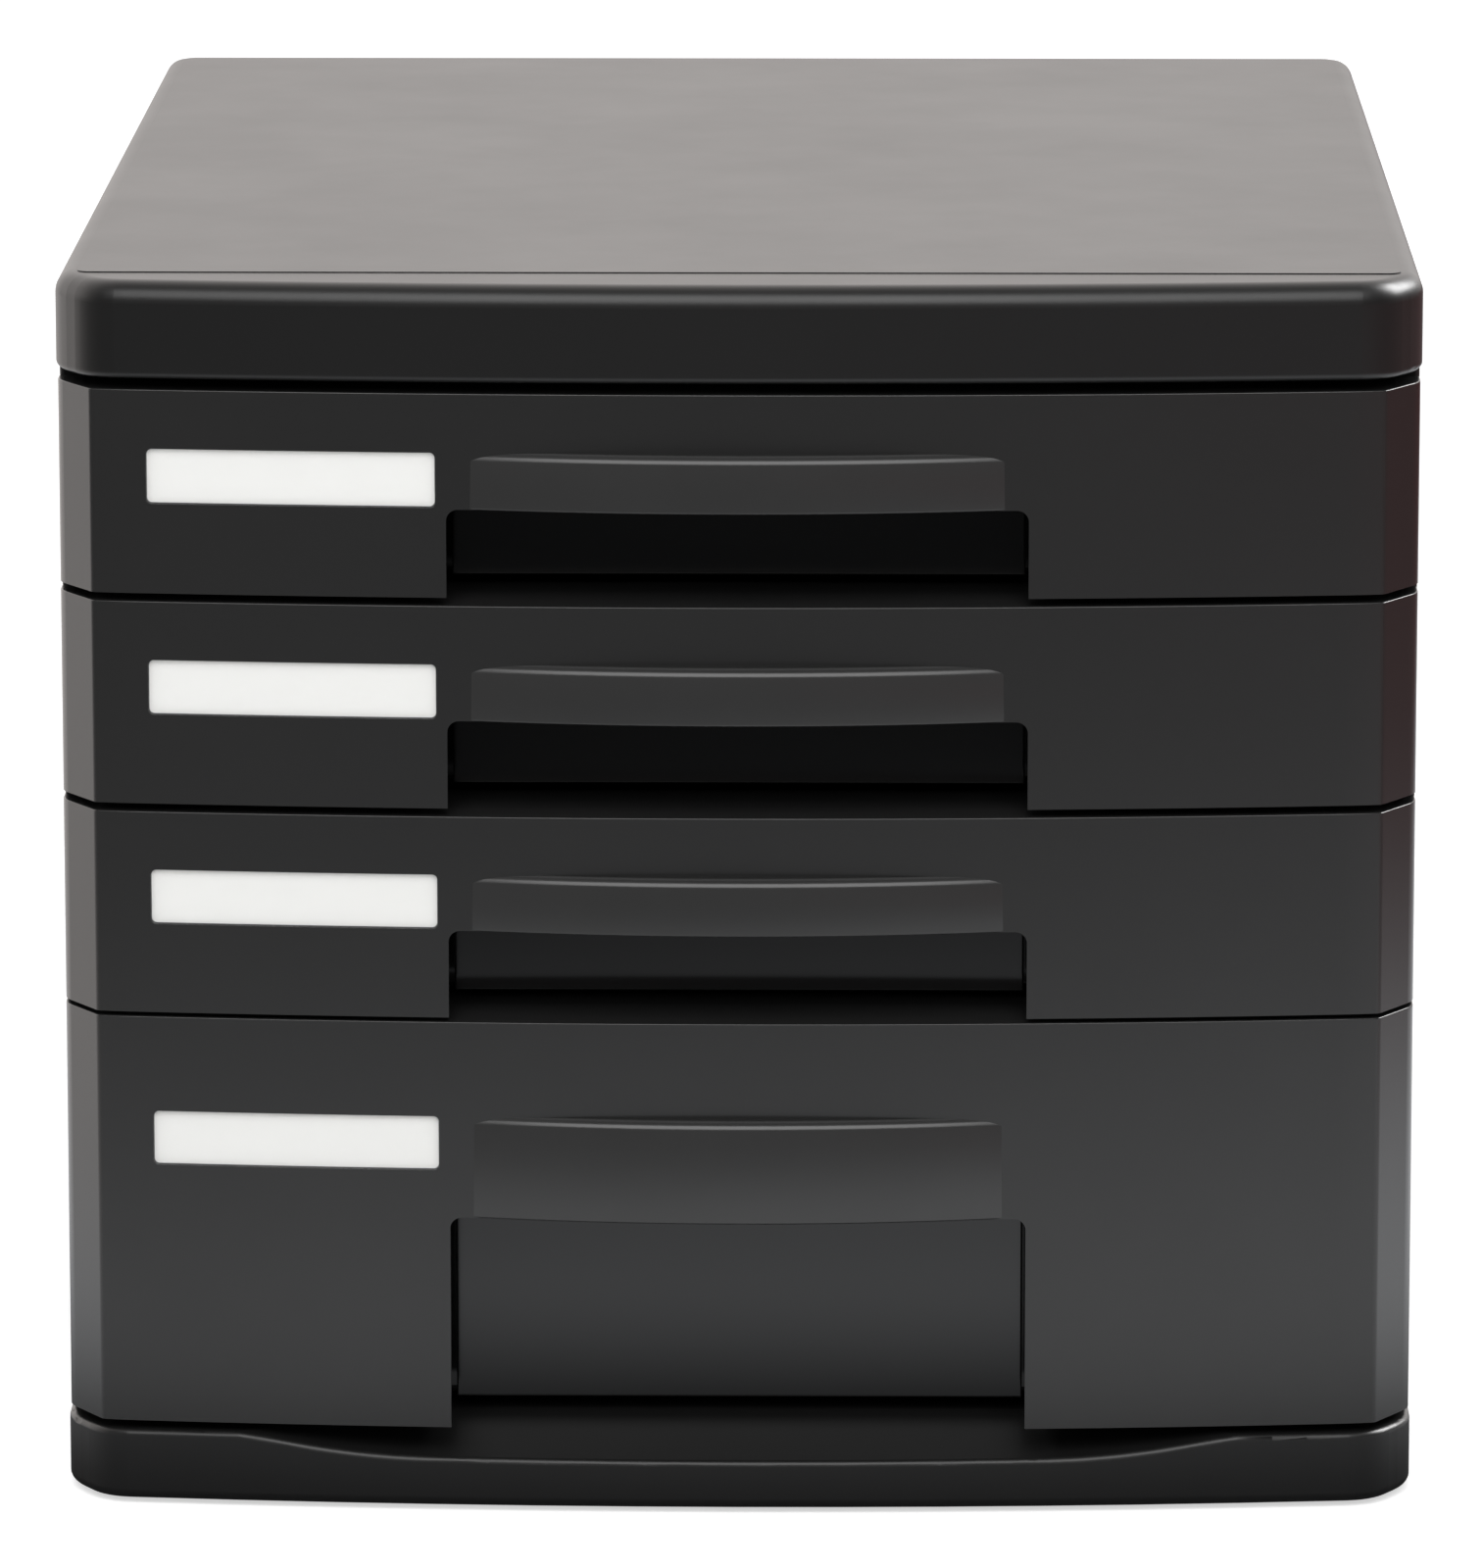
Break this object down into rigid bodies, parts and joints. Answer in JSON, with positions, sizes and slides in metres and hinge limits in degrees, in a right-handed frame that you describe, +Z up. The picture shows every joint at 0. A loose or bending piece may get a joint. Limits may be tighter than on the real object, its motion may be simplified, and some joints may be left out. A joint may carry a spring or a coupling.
{
  "type": "desktop drawer unit",
  "caption": "Desktop drawer unit of moulded plastic: bowed fronts with a pull lip, finger notch and label, in a case with a lid and a scooped base.",
  "frame": {"origin": "on the surface that the feet stand on, under the middle of the unit", "axes": "+Z up, +Y to the back, +X to the right as seen from the front"},
  "size_m": [0.2672, 0.354, 0.245],
  "materials": {
    "case_plastic": "satin",
    "front_plastic": "satin",
    "tray_plastic": "satin",
    "label_paper": "matte",
    "label_clear": "clear",
    "foot_rubber": "matte",
    "screw_steel": "zinc plated"
  },
  "bodies": {
    "cabinet": {"top_cover": "case_plastic", "base": "case_plastic", "left_side_panel": "case_plastic", "right_side_panel": "case_plastic", "back_panel": "case_plastic", "back_panel_screws": "screw_steel", "front_left_foot": "foot_rubber", "front_right_foot": "foot_rubber", "back_left_foot": "foot_rubber", "back_right_foot": "foot_rubber"},
    "top_drawer": {"top_drawer_front": "front_plastic", "top_drawer_tray": "tray_plastic", "top_drawer_label_card": "label_paper", "top_drawer_label_window": "label_clear"},
    "second_drawer": {"second_drawer_front": "front_plastic", "second_drawer_tray": "tray_plastic", "second_drawer_label_card": "label_paper", "second_drawer_label_window": "label_clear"},
    "third_drawer": {"third_drawer_front": "front_plastic", "third_drawer_tray": "tray_plastic", "third_drawer_label_card": "label_paper", "third_drawer_label_window": "label_clear"},
    "bottom_drawer": {"bottom_drawer_front": "front_plastic", "bottom_drawer_tray": "tray_plastic", "bottom_drawer_label_card": "label_paper", "bottom_drawer_label_window": "label_clear"}
  },
  "joints": [
    {"name": "top_drawer_slide", "type": "slide", "parent": "cabinet", "child": "top_drawer", "axis": [0, -1, 0], "range_m": [0, 0.23]},
    {"name": "second_drawer_slide", "type": "slide", "parent": "cabinet", "child": "second_drawer", "axis": [0, -1, 0], "range_m": [0, 0.23]},
    {"name": "third_drawer_slide", "type": "slide", "parent": "cabinet", "child": "third_drawer", "axis": [0, -1, 0], "range_m": [0, 0.23]},
    {"name": "bottom_drawer_slide", "type": "slide", "parent": "cabinet", "child": "bottom_drawer", "axis": [0, -1, 0], "range_m": [0, 0.23]}
  ]
}
